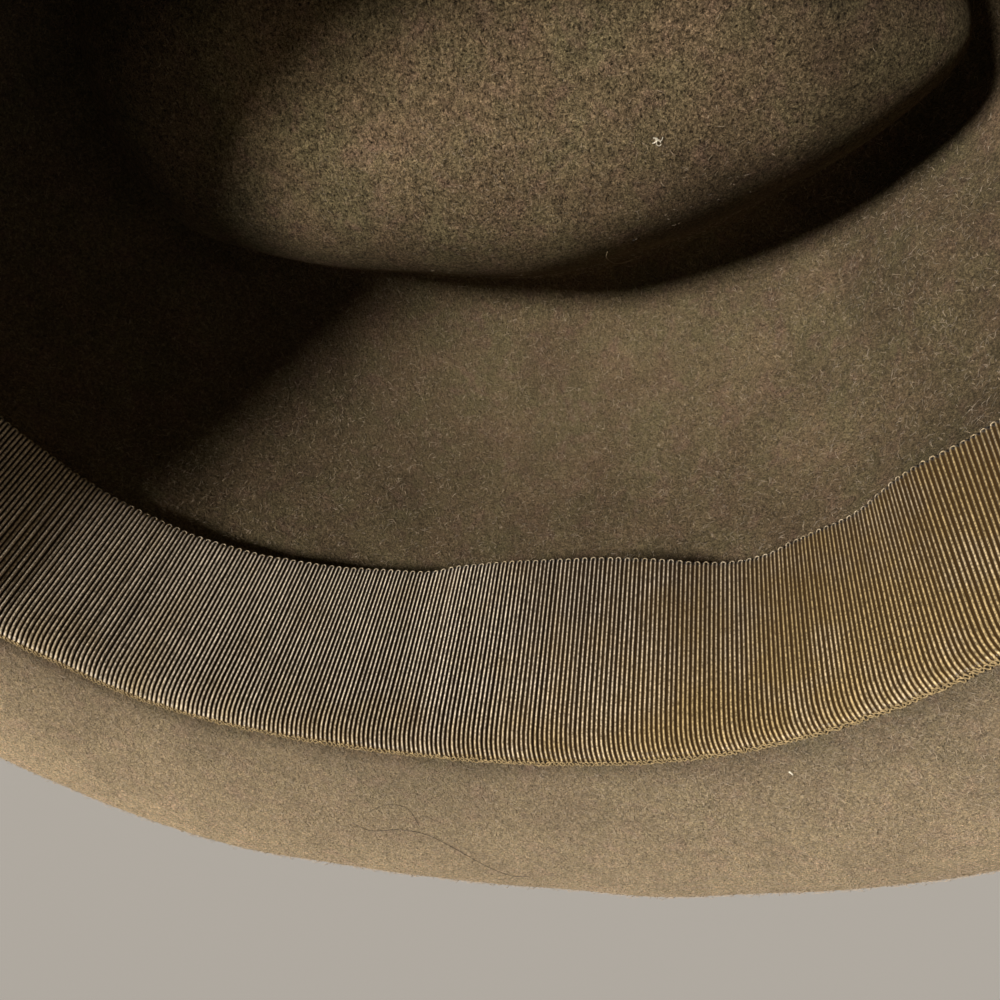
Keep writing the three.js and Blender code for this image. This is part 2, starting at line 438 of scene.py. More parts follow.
def felt_material(name, sheen):
    m, nt, bsdf, at = new_material(name)
    olive, brown, red = (0.122, 0.096, 0.050), (0.132, 0.092, 0.052), (0.146, 0.091, 0.062)
    patches = remap(nt, noise(nt, at, 90, 3, 0.55), 0.36, 0.64)
    ruddy = remap(nt, noise(nt, at, 210, 4, 0.6, 0.6), 0.50, 0.72, 0.0, 0.7)
    base = mix(nt, patches, olive, brown)
    base = mix(nt, ruddy, base, red)
    # the brim's felt is lighter, partly from wear and partly as painted sheen and painted light, by the brim attribute
    base = mix(nt, attribute(nt, "brim"), base, mix(nt, ruddy, (0.610, 0.455, 0.272), (0.648, 0.442, 0.300)))
    clump = remap(nt, noise(nt, at, 650, 3, 0.6, 0.8), 0.30, 0.70, 0.72, 1.28)
    grain = remap(nt, noise(nt, at, 2700, 2, 0.7, 0.9), 0.30, 0.70, 0.24, 1.78)
    curls = math_node(nt, "MAXIMUM", curl(nt, at, 1400, 1.8, 0.07), curl(nt, at, 2100, 1.4, 0.08))
    broken = remap(nt, noise(nt, at, 1400, 1, 0.5), 0.46, 0.58)
    curls = math_node(nt, "MULTIPLY", curls, broken)
    shade = math_node(nt, "MULTIPLY", clump, grain)
    shade = math_node(nt, "ADD", shade, remap(nt, curls, 0.0, 1.0, -0.14, 1.25))
    # the grain's contrast is scaled by the nap attribute: higher in the dent, as painted shade of its relief where the
    # light grazes
    shade = math_node(nt, "MULTIPLY", math_node(nt, "SUBTRACT", shade, 1.0), attribute(nt, "nap"))
    shade = math_node(nt, "ADD", shade, 1.0)
    shade = math_node(nt, "MULTIPLY", shade, remap(nt, noise(nt, at, 62, 3, 0.55, 0.4), 0.34, 0.66, 0.86, 1.14))
    # painted light and shade on the inside, set in make_felt
    shade = math_node(nt, "MULTIPLY", shade, attribute(nt, "painted_light_shade"))
    tone = nt.nodes.new("ShaderNodeVectorMath")
    tone.operation = "SCALE"
    nt.links.new(base, tone.inputs[0])
    nt.links.new(shade, tone.inputs["Scale"])
    nt.links.new(tone.outputs[0], bsdf.inputs["Base Color"])
    bsdf.inputs["Roughness"].default_value = 0.93
    bsdf.inputs["Specular IOR Level"].default_value = 0.05
    bsdf.inputs["Sheen Weight"].default_value = sheen
    bsdf.inputs["Sheen Roughness"].default_value = 0.5
    bsdf.inputs["Sheen Tint"].default_value = (0.85, 0.70, 0.50, 1.0)
    coarse = noise(nt, at, 560, 2, 0.6, 0.8)
    fine = noise(nt, at, 1900, 3, 0.7, 0.9)
    n1 = bump(nt, coarse, 0.0014, 0.8)
    n2 = bump(nt, fine, 0.0011, 1.0, n1)
    n3 = bump(nt, curls, 0.00014, 0.9, n2)
    nt.links.new(n3, bsdf.inputs["Normal"])
    return m


def fibre_material():
    m, nt, bsdf, at = new_material("wool_fibre")
    tint = remap(nt, noise(nt, at, 700, 1), 0.35, 0.65)
    base = mix(nt, tint, (0.185, 0.135, 0.077), (0.500, 0.385, 0.258))
    # fibres on the brim are lighter like its felt: partly wear, partly painted sheen
    base = mix(nt, attribute(nt, "brim"), base, (0.600, 0.465, 0.320))
    nt.links.new(base, bsdf.inputs["Base Color"])
    bsdf.inputs["Roughness"].default_value = 0.75
    bsdf.inputs["Specular IOR Level"].default_value = 0.2
    bsdf.inputs["Sheen Weight"].default_value = 0.2
    return m


def ribbon_material(name, pale, golden, dark, deep):
    """Pale crests with golden ones where gold is 1; between them dark, or deep where gold is 1. The dark between the
    ribs is painted shade and the pale crests are partly painted highlight.
    """
    m, nt, bsdf, at = new_material(name)
    crest = attribute(nt, "crest")
    gold = attribute(nt, "gold")
    wear = remap(nt, noise(nt, at, 95, 3, 0.6), 0.35, 0.65, -0.25, 0.25)
    gold = math_node(nt, "ADD", gold, wear)
    n = nt.nodes.new("ShaderNodeClamp")
    nt.links.new(gold, n.inputs[0])
    top = mix(nt, n.outputs[0], pale, golden)
    # flecks along the crests: partly the weave, partly painted glints
    spots = remap(nt, noise(nt, at, 2600, 2, 0.6), 0.34, 0.66, 0.35, 1.5)
    tone = nt.nodes.new("ShaderNodeVectorMath")
    tone.operation = "SCALE"
    nt.links.new(top, tone.inputs[0])
    nt.links.new(spots, tone.inputs["Scale"])
    shape = remap(nt, crest, 0.52, 1.0)
    gap = mix(nt, n.outputs[0], dark, deep)
    base = mix(nt, shape, gap, tone.outputs[0])
    nt.links.new(base, bsdf.inputs["Base Color"])
    bsdf.inputs["Roughness"].default_value = 0.42
    bsdf.inputs["Specular IOR Level"].default_value = 0.45
    bsdf.inputs["Sheen Weight"].default_value = 0.05
    nt.links.new(bump(nt, noise(nt, at, 2400, 2, 0.6), 0.00012, 0.8), bsdf.inputs["Normal"])
    return m


def plain_material(name, colour, roughness, specular=0.3, grain=0.0):
    m, nt, bsdf, at = new_material(name)
    if grain:
        fac = remap(nt, noise(nt, at, 1800, 2, 0.6), 0.3, 0.7, 1 - grain, 1 + grain)
        tone = nt.nodes.new("ShaderNodeVectorMath")
        tone.operation = "SCALE"
        tone.inputs[0].default_value = colour
        nt.links.new(fac, tone.inputs["Scale"])
        nt.links.new(tone.outputs[0], bsdf.inputs["Base Color"])
    else:
        bsdf.inputs["Base Color"].default_value = (*colour, 1.0)
    bsdf.inputs["Roughness"].default_value = roughness
    bsdf.inputs["Specular IOR Level"].default_value = specular
    return m


FELT_MAT = felt_material("wool_felt", 0.05)
BRIM_MAT = felt_material("wool_felt_brim", 0.42)
FIBRE_MAT = fibre_material()
# the gap colours are painted shade between the ribs; the pale crest colours are partly painted highlight
BAND_MAT = ribbon_material("sweatband_grosgrain", (0.90, 0.765, 0.585), (0.510, 0.378, 0.182), (0.026, 0.013, 0.003), (0.054, 0.027, 0.005))
OUTER_MAT = ribbon_material("outer_grosgrain", (0.115, 0.085, 0.052), (0.125, 0.085, 0.045), (0.012, 0.008, 0.005), (0.016, 0.010, 0.006))
THREAD_MAT = plain_material("sewing_thread", (0.34, 0.245, 0.12), 0.6, 0.3, 0.45)
OUTER_THREAD_MAT = plain_material("outer_thread", (0.09, 0.065, 0.04), 0.6, 0.3, 0.3)


# ---------------------------------------------------------------- felt body
COLS = 304


def spline_rows(rows, spacing):
    """Smooth rows through the table's, by Hermite pieces over the mean distance between them."""
    gap = np.linalg.norm(np.diff(rows, axis=0), axis=-1).mean(-1)
    t = np.concatenate([[0], np.cumsum(np.maximum(gap, 0.5))])
    slope = np.zeros_like(rows)
    d = np.diff(rows, axis=0) / np.diff(t)[:, None, None]
    h = np.diff(t)
    slope[0], slope[-1] = d[0], d[-1]
    w = (h[:-1] / (h[:-1] + h[1:]))[:, None, None]
    slope[1:-1] = d[:-1] * (1 - w) + d[1:] * w
    out, level = [], []
    for i in range(len(h)):
        steps = max(1, int(math.ceil(h[i] / spacing)))
        for k in range(steps):
            u = k / steps
            h00, h10 = 2 * u**3 - 3 * u**2 + 1, u**3 - 2 * u**2 + u
            h01, h11 = -2 * u**3 + 3 * u**2, u**3 - u**2
            out.append(
                h00 * rows[i] + h10 * h[i] * slope[i] + h01 * rows[i + 1] + h11 * h[i] * slope[i + 1]
            )
            level.append(i + u)
    out.append(rows[-1])
    level.append(len(h))
    return np.array(out), np.array(level)


def make_felt():
    angle = TAU * np.arange(COLS) / COLS
    rows = [brim_row(r, angle) for r in BRIM]
    for i, r in enumerate(CROWN):
        wall = 1.0 if i < 11 else (14 - i) / 4 if i < 14 else 0.0
        rows.append(ring(r, angle, wall))
    rows = np.array(rows)
    centre = np.array([0.0, -1.0, 69.6])
    last = centre + (rows[-1] - centre) * 0.28
    last[:, 2] = 69.63
    rows = np.concatenate([rows, last[None]])
    inner, level = spline_rows(rows, 2.05)
    inner[..., 2] = np.minimum(inner[..., 2], RIDGE + 0.1)
    normal = unit(
        np.cross(
            np.roll(inner, -1, 1) - np.roll(inner, 1, 1),
            np.gradient(inner, axis=0),
        )
    )
    ease = np.ones(len(level))
    ease *= 1 - 0.85 * np.exp(-(((level - 9.7) / 1.3) ** 2))
    ease *= 1 - 0.9 * np.exp(-(((level - 21.5) / 1.2) ** 2))
    shift = uneven(inner) * ease[:, None]
    inner = inner + normal * shift[..., None]
    outer = inner + normal * FELT
    outer[..., 2] = np.minimum(outer[..., 2], CROWN_HEIGHT)
    keep = [k for k in range(len(level)) if k % 2 == 0 or 19.4 < level[k] < 23.6 or k < 6]
    if keep[-1] != len(level) - 1:
        keep.append(len(level) - 1)
    outer = outer[keep]
    edge_out = unit(inner[0] - inner[1])
    edges = []
    for t in (0.10, 0.32, 0.68, 0.90):
        edges.append(inner[0] * (1 - t) + outer[0] * t + edge_out * 0.42 * math.sin(math.pi * t) ** 0.6)
    seq = np.concatenate([inner[::-1], np.array(edges), outer])
    # brim marks the brim; its felt is made lighter towards the rim, partly as wear and partly as painted sheen where it
    # curls away
    brim = smooth((9.6 - level) / 2.5)
    lighter = 0.30 + 0.62 * smooth((7.8 - level) / 4.8)
    brim_seq = np.concatenate([(brim * lighter)[::-1], np.full(4, 0.8), 0.20 + 0.18 * brim[keep]])
    n_rows = len(seq)
    verts = np.concatenate([seq.reshape(-1, 3), centre[None], (centre + [0, 0, FELT])[None]])
    quads = grid_quads(n_rows, COLS)
    j = np.arange(COLS)
    j2 = (j + 1) % COLS
    c0, c1 = n_rows * COLS, n_rows * COLS + 1
    tris = np.concatenate(
        [
            np.stack([np.full(COLS, c0), j2, j], -1),
            np.stack([np.full(COLS, c1), (n_rows - 1) * COLS + j, (n_rows - 1) * COLS + j2], -1),
        ]
    )
    turned = turn(np.degrees(angle))
    # the brim is lighter over the side within about 95 degrees of +x, and round 38 degrees by painted light
    painted_brim_light = 0.74 + 0.26 * smooth((95 - np.abs(turned)) / 35) + 0.32 * np.exp(-(((turned - 38) / 24) ** 2))
    values = np.concatenate([(brim_seq[:, None] * painted_brim_light[None, :]).ravel(), [0.0, 0.0]])
    # painted light and shade on the inside: the dent's floor lighter, more so towards the back; lighter and darker
    # bands on the wall; the dent's back and front ends and a patch of its floor darker
    deg = turn(np.degrees(angle))[None, :]
    lev = level[:, None]
    y = inner[..., 1]
    painted_light_shade = 1 + smooth((lev - 27.6) / 2.2) * (0.36 + 0.34 * smooth((y + 5) / 30)) * smooth((y + 58) / 25)
    painted_light_shade += 0.30 * np.exp(-(((lev - 18.3) / 1.6) ** 2) - ((deg + 18) / 30) ** 2)
    painted_light_shade += 0.22 * np.exp(-(((lev - 15.7) / 1.3) ** 2) - ((deg + 40) / 15) ** 2)
    painted_light_shade -= 0.22 * np.exp(-(((lev - 16.8) / 2.0) ** 2) - ((deg - 28) / 12) ** 2)
    painted_light_shade -= 0.40 * smooth((y - 34) / 12) * smooth((lev - 26.0) / 1.5)
    painted_light_shade -= 0.42 * smooth((inner[..., 0] - 7) / 9) * np.exp(-(((y + 42) / 15) ** 2)) * smooth((lev - 25.5) / 1.5)
    x = inner[..., 0]
    painted_light_shade += smooth((lev - 27.6) / 2.2) * smooth((13 - x) / 12) * (0.16 + 0.24 * smooth((y + 10) / 22)) * smooth((y + 56) / 12)
    painted_light_shade -= 0.26 * smooth((-y - 52) / 8) * smooth((lev - 25.5) / 1.5)
    painted_light_shade -= 0.15 * np.exp(-(((deg + 54) / 14) ** 2)) * smooth((lev - 12.6) / 1.0) * smooth((24 - lev) / 3)
    painted_light_shade = np.concatenate([painted_light_shade[::-1].ravel(), np.ones((4 + len(outer)) * COLS), [1.36, 1.0]])
    # the colour grain is stronger in the dent and beside the sweatband than in the middle of the wall; in the dent this
    # stands in for the relief's shade under grazing light, as painted shade
    nap = 0.86 + 0.34 * smooth((lev - 25) / 3) - 0.34 * np.exp(-(((lev - 17.6) / 2.6) ** 2) - ((deg - 6) / 34) ** 2)
    nap = np.concatenate([nap[::-1].ravel(), np.full((4 + len(outer)) * COLS, 0.9), [1.2, 0.9]])
    inside_rows = np.concatenate([(level[::-1] > 10.2), np.zeros(4, bool), np.zeros(len(keep), bool)])
    face_rows = inside_rows[:-1] & inside_rows[1:]
    which = np.concatenate([np.repeat(~face_rows, COLS), np.zeros(COLS, bool), np.ones(COLS, bool)])
    ob = make_piece(
        "felt_cloth",
        verts,
        quads,
        tris,
        attrs={"brim": values, "painted_light_shade": painted_light_shade, "nap": nap},
        material=FELT_MAT,
        second=(BRIM_MAT, which),
    )
    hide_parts("felt_body")
    return ob, inner, normal, level


felt, INNER, NORMAL, LEVEL = make_felt()


# ---------------------------------------------------------------- nap
def make_nap(name, count, weight_of, seed, lengths, width):
    """Loose wool fibres lying on the inner surface and the underside of the brim."""
    rng = np.random.default_rng(seed)
    a = INNER[:-1]
    b = np.roll(INNER, -1, 1)[:-1]
    c = INNER[1:]
    area = np.linalg.norm(np.cross(b - a, c - a), axis=-1)
    mid_level = np.repeat(((LEVEL[:-1] + LEVEL[1:]) / 2)[:, None], COLS, 1)
    deg = np.degrees(TAU * (np.arange(COLS) + 0.5) / COLS)[None, :].repeat(len(INNER) - 1, 0)
    p = (area * weight_of(mid_level, turn(deg))).ravel()
    pick = rng.choice(p.size, count, p=p / p.sum())
    i, j = pick // COLS, pick % COLS
    j2 = (j + 1) % COLS
    u, v = rng.random(count)[:, None], rng.random(count)[:, None]
    base = (INNER[i, j] * (1 - u) + INNER[i, j2] * u) * (1 - v) + (
        INNER[i + 1, j] * (1 - u) + INNER[i + 1, j2] * u
    ) * v
    n = -unit(NORMAL[i, j])
    tangent = unit(INNER[i, j2] - INNER[i, j])
    other = np.cross(n, tangent)
    phi = rng.uniform(0, TAU, count)[:, None]
    along = tangent * np.cos(phi) + other * np.sin(phi)
    length = rng.uniform(*lengths, count)[:, None]
    # flatter round the shoulder of the dent, where the light grazes it
    shoulder = 1 - 0.85 * np.exp(-(((mid_level[i, j] - 26.5) / 2.2) ** 2))[:, None]
    rise = rng.uniform(0.05, 0.32, count)[:, None] * shoulder
    length = length * (0.35 + 0.65 * shoulder)
    bend = rng.normal(0, 0.25, count)[:, None]
    side = np.cross(n, along)
    p0 = base - n * 0.05
    p1 = base + along * length * 0.5 + n * length * rise
    p2 = base + along * length * 0.97 + n * length * rise * rng.uniform(0.2, 1.1, count)[:, None] + side * length * bend
    r = (width * rng.uniform(0.7, 1.25, count))[:, None]
    ring0 = [p0 + r * (side * math.cos(t) + n * math.sin(t)) for t in (0.5, 2.6, 4.7)]
    ring1 = [p1 + r * (side * math.cos(t) + n * math.sin(t)) for t in (0.5, 2.6, 4.7)]
    verts = np.stack(ring0 + ring1 + [p2], 1).reshape(-1, 3)
    o = (np.arange(count) * 7)[:, None, None]
    quads = (np.array([[0, 1, 4, 3], [1, 2, 5, 4], [2, 0, 3, 5]])[None] + o).reshape(-1, 4)
    tris = (np.array([[2, 1, 0], [3, 4, 6], [4, 5, 6], [5, 3, 6]])[None] + o).reshape(-1, 3)
    brim = np.repeat(smooth((9.6 - mid_level[i, j]) / 2.5), 7)
    return make_piece(name, verts, quads, tris, attrs={"brim": brim}, material=FIBRE_MAT)


def seen(level, deg):
    """Denser where the light falls on the wall, the dent and the brim."""
    near = 0.25 + 0.75 * smooth((75 - np.abs(deg + 5)) / 25)
    hidden = ((level > 9.3) & (level < 12.6)).astype(float)
    grazed = np.exp(-(((level - 26.8) / 2.2) ** 2))
    return near * (1 - 0.97 * hidden) * (1 - 0.93 * grazed)


make_nap("nap_short", 19500, seen, 11, (0.6, 1.4), 0.040)
make_nap("nap_long", 16000, seen, 12, (1.1, 2.4), 0.032)


def make_strays():
    """A curled hair, a pinch of pale lint and a long dark hair that have settled on the felt."""
    rng = np.random.default_rng(51)
    skin = np.concatenate([INNER, INNER[:, :1]], 1)
    verts = place(skin).reshape(-1, 3) * 1000
    tree = BVHTree.FromPolygons(verts.tolist(), grid_quads(len(skin), COLS + 1)[:, ::-1].tolist())
    frame_of = camera.matrix_world

    def on_felt(points, lift):
        out = []
        for x, y in points:
            d = frame_of.to_3x3() @ Vector(((x - 500) / 987.7, (500 - y) / 987.7, -1.0))
            d.normalize()
            hit, normal, _, _ = tree.ray_cast(frame_of.translation * 1000, d)
            if hit is None:
                continue
            if normal.dot(d) > 0:
                normal = -normal
            p = hit + normal * lift
            out.append([-p.x, p.y, CROWN_HEIGHT - p.z])
        return np.array(out)

    def curve(points, count):
        points = np.array(points, float)
        k = len(points)
        t = np.linspace(0, k - 1, count)
        i = np.clip(t.astype(int), 0, k - 2)
        f = (t - i)[:, None]
        before = np.concatenate([points[:1] * 2 - points[1:2], points, points[-1:] * 2 - points[-2:-1]])
        a, b, c, d = before[i], before[i + 1], before[i + 2], before[i + 3]
        return 0.5 * (2 * b + (c - a) * f + (2 * a - 5 * b + 4 * c - d) * f**2 + (3 * b - a - 3 * c + d) * f**3)

    def strand(name, points, count, radius, lift, material):
        path = on_felt(curve(points, count), lift)
        if len(path) > 3:
            verts, quads, tris = tubes(path[None], radius, 5, np.array([0.21, 0.37, 0.9]))
            make_piece(name, verts, quads, tris, material=material)

    dark = plain_material("dark_hair", (0.030, 0.022, 0.016), 0.5, 0.4)
    light = plain_material("pale_lint", (0.78, 0.70, 0.55), 0.7, 0.3)
    tan = plain_material("tan_hair", (0.34, 0.26, 0.15), 0.5, 0.4)
    long_hair = [(352, 822), (372, 830), (398, 829), (424, 833), (452, 846), (482, 863), (508, 874), (530, 876)]
    strand("hair_on_brim", long_hair, 70, 0.045, 0.18, dark)
    second_hair = [(366, 812), (388, 804), (408, 808), (420, 826)]
    strand("hair_on_brim_short", second_hair, 30, 0.04, 0.2, dark)
    loop = [(607, 249), (606, 255), (612, 260), (620, 261), (627, 259), (632, 257)]
    strand("hair_in_crown", loop, 30, 0.05, 0.5, tan)
    for k in range(5):
        c = np.array([657.0, 141.0]) + rng.normal(0, 1.6, 2)
        a = rng.uniform(0, TAU)
        bit = [c + 6.0 * rng.uniform(0.5, 1.0) * np.array([math.cos(a + t), math.sin(a + t)]) * t for t in (-0.9, -0.3, 0.35, 0.9)]
        strand("lint_%d" % k, bit, 14, 0.06, 0.25 + 0.1 * k, light)
    speck = [(789, 771), (791, 772), (792, 773), (793, 774)]
    strand("speck", speck, 5, 0.17, 0.15, light)


make_strays()


# ---------------------------------------------------------------- sweatband
_theta = np.radians(np.linspace(-180, 180, 7201))


def band_frame(angle):
    """Foot of the band, its outward normal, and the direction of growing angle."""
    n = unit(np.stack([np.cos(angle) / HEAD_HALF_WIDTH, np.sin(angle) / HEAD_HALF_LENGTH], -1))
    off = at_angle(OFF, np.degrees(angle))
    foot = np.stack([HEAD_HALF_WIDTH * np.cos(angle), HEAD_HALF_LENGTH * np.sin(angle)], -1) + n * off[..., None]
    n3 = np.concatenate([n, np.zeros_like(n[..., :1])], -1)
    t3 = np.stack([-n[..., 1], n[..., 0], np.zeros_like(n[..., 0])], -1)
    f3 = np.concatenate([foot, np.zeros_like(n[..., :1])], -1)
    return f3, n3, t3


_foot = band_frame(_theta)[0]
_run = np.concatenate([[0], np.cumsum(np.linalg.norm(np.diff(_foot, axis=0), axis=-1))])
BAND_LENGTH = _run[-1]
RIBS = int(round(BAND_LENGTH / RIB_PITCH / 2)) * 2
PITCH = BAND_LENGTH / RIBS


def band_angle(s):
    return np.interp(s % BAND_LENGTH, _run, _theta)


def band_point(s, v, w):
    """Point of the band at s along it, v up it and w out of it, in mm."""
    s, v, w = np.broadcast_arrays(np.asarray(s, float), np.asarray(v, float), np.asarray(w, float))
    angle = band_angle(s)
    deg = np.degrees(angle)
    foot, n, t = band_frame(angle)
    lean = np.radians(at_angle(LEAN, deg))
    skew = np.radians(at_angle(SKEW, deg))
    up = np.clip(v / RIBBON_WIDTH, 0, 1)
    swell = 1.0 * (1 - np.exp(-np.maximum(v, 0) / 2.2)) * (1 - up) ** 0.7
    hook = -0.85 * np.exp(-np.maximum(v, 0) / 1.9)
    out = w * np.cos(lean) - v * np.sin(lean) - swell
    z = v * np.cos(lean) + w * np.sin(lean)
    along = v * np.sin(skew) + hook
    return foot + n * out[..., None] + t * along[..., None] + np.array([0, 0, 1.0]) * z[..., None]


PER_RIB = 8


def make_sweatband():
    cols = RIBS * PER_RIB
    s = np.arange(cols) * PITCH / PER_RIB
    phase = (np.arange(cols) % PER_RIB) / PER_RIB
    rib = np.arange(cols) // PER_RIB
    profile = np.sqrt(np.maximum(0, 1 - (2 * phase - 1) ** 2))
    narrow = np.abs(np.sin(math.pi * phase)) ** 2.8
    wide = np.abs(np.sin(math.pi * phase)) ** 0.9
    rng = np.random.default_rng(21)
    deep = (1 + rng.normal(0, 0.10, RIBS))[rib]
    tint = np.clip(0.5 + rng.normal(0, 0.22, RIBS), 0, 1)[rib]
    wob = np.cumsum(rng.normal(0, 1, RIBS))
    wob = wob - np.linspace(0, wob[-1], RIBS)
    wob = (wob - np.convolve(np.concatenate([wob[-20:], wob, wob[:20]]), np.ones(41) / 41, "same")[20:-20]) * 0.02
    levels = [-0.15, 0.5, 1.3, 2.4, 4.2, 7.5, 13, 19, 25, 30.5, 34.8, 37.2, 38.1]
    front, crest, gold = [], [], []
    deg = np.degrees(band_angle(s))
    # crest sets how much of each rib takes the pale colour: narrow in the middle, wider at the back, the front and the
    # lower edge, and dimmed over the upper part towards the front; at the back and middle this is painted light that
    # follows how the lamp falls round the band
    front_part = smooth((-deg - 6) / 32) * smooth((deg + 175) / 30)
    back_part = smooth((deg - 14) / 30) * smooth((178 - deg) / 40)
    middle = np.exp(-(((deg - 8) / 20) ** 2))
    for v in levels:
        amp = 0.52 * (0.8 if v < 0 else 1.0)
        edge = 0.5 if v > 37.9 else 1.0
        w = 0.40 - amp * profile * deep * edge
        jitter = wob[rib] * math.sin(v / 9.0) + rng.normal(0, 0.012, RIBS)[rib]
        front.append(band_point(s + jitter, v + (rng.normal(0, 0.08, RIBS)[rib] if v > 37.9 else 0), w))
        low = math.exp(-max(v, 0) / 5.0)
        spread = np.clip(front_part * 0.34 + 0.45 * low + back_part, 0, 1)
        upper = smooth((v - 8) / 22) * smooth((4 - deg) / 14) * smooth((deg + 175) / 20)
        crest.append((narrow * (1 - spread) + wide * spread) * (0.93 + 0.14 * tint) * (1 - 0.15 * upper - 0.05 * middle))
        # gold turns the crests from the whitish pale colour, partly a painted highlight of the ribs' shine, to the
        # ribbon's own golden colour towards the front and the lower edge
        right = front_part * (0.85 + 0.15 * low) + 0.35 * smooth((-deg + 8) / 15) * (1 - v / RIBBON_WIDTH)
        gold.append(np.clip(right + 0.6 * low + (tint - 0.5) * 0.2, 0, 1))
    back = [band_point(s, v, 0.66) for v in (38.0, 0.1)]
    rows = np.array(front + back)
    crest += [np.full(cols, 0.8)] * 2
    gold += [np.full(cols, 0.4)] * 2
    ob = make_piece(
        "sweatband_ribbon",
        rows.reshape(-1, 3),
        grid_quads(len(rows), cols, wrap_rows=True),
        attrs={"crest": np.concatenate(crest), "gold": np.concatenate(gold)},
        material=BAND_MAT,
    )
    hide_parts("sweatband")
    return ob


make_sweatband()


def make_selvage():
    """Weft threads that turn round in pairs of ribs along the upper edge."""
    rng = np.random.default_rng(31)
    pairs = RIBS // 2
    k = 7
    u = np.linspace(0, 1, k)[None, :]
    s0 = (np.arange(pairs) * 2 + 0.5)[:, None] * PITCH
    height = rng.uniform(0.04, 0.22, pairs)[:, None]
    s = s0 + PITCH * (0.5 - 0.5 * np.cos(math.pi * u)) + rng.normal(0, 0.03, (pairs, 1))
    v = 37.7 + (height + 0.28) * np.sin(math.pi * u) ** 0.75
    w = 0.05 + rng.normal(0, 0.04, (pairs, 1)) + 0 * u
    paths = band_point(s, v, w)
    verts, quads, tris = tubes(paths, 0.085, 6, np.array([0.3, 0.2, 0.93]))
    n = len(verts)
    make_piece(
        "sweatband_selvage",
        verts,
        quads,
        tris,
        # the loops take the pale crest colour, partly a painted highlight
        attrs={"crest": np.full(n, 0.84), "gold": np.full(n, 0.55)},
        material=BAND_MAT,
    )


make_selvage()


def make_stitching():
    """The chain of sewing thread that fastens the lower edge to the break."""
    rng = np.random.default_rng(41)
    per = 8
    cols = RIBS * per
    s = np.arange(cols) * PITCH / per

    def jitter(size, passes):
        x = rng.normal(0, 1, cols)
        kernel = np.ones(passes) / passes
        x = np.convolve(np.concatenate([x[-passes:], x, x[:passes]]), kernel, "same")[passes:-passes]
        return x / x.std() * size

    foot, n, t = band_frame(band_angle(s))
    parts = []
    for sign in (1, -1):
        phase = s / PITCH * math.pi + jitter(0.55, 9)
        out = 0.72 + sign * (0.42 + jitter(0.10, 11)) * np.sin(phase) + jitter(0.07, 25)
        z = -0.14 + sign * 0.10 * np.cos(phase) - 0.06 * np.abs(np.sin(phase)) + jitter(0.03, 15)
        p = foot + n * out[:, None] + np.array([0, 0, 1.0]) * z[:, None]
        parts.append(tubes(p[None], 0.115, 5, np.array([0.05, 0.03, 1.0]), closed=True))
    verts, quads, tris = join(parts)
    make_piece("lower_stitching", verts, quads, tris, material=THREAD_MAT)
    # the ribs' turned ends: short tails of weft over the edge, of uneven length
    k = 4
    u = np.linspace(0, 1, k)[None, :]
    s0 = ((np.arange(RIBS) + 0.5) * PITCH)[:, None] + rng.normal(0, 0.06, (RIBS, 1))
    length = rng.uniform(0.25, 0.75, (RIBS, 1))
    foot, n, t = band_frame(band_angle(s0 + 0 * u))
    out = 0.02 + length * u * 1.1
    z = 0.10 - 0.38 * u + 0 * out
    along = -0.85 - 0.35 * u * rng.uniform(0.2, 1.4, (RIBS, 1))
    p = foot + n * out[..., None] + t * along[..., None] + np.array([0, 0, 1.0]) * z[..., None]
    verts, quads, tris = tubes(p, 0.12, 5, np.array([0.05, 0.03, 1.0]))
    make_piece("rib_ends", verts, quads, tris, material=THREAD_MAT)


make_stitching()


# ---------------------------------------------------------------- outer ribbon
def wall_at(z):
    table = np.array(CROWN[:12])
    return tuple([z] + [float(np.interp(z, table[:, 0], table[:, k])) for k in range(1, 6)])


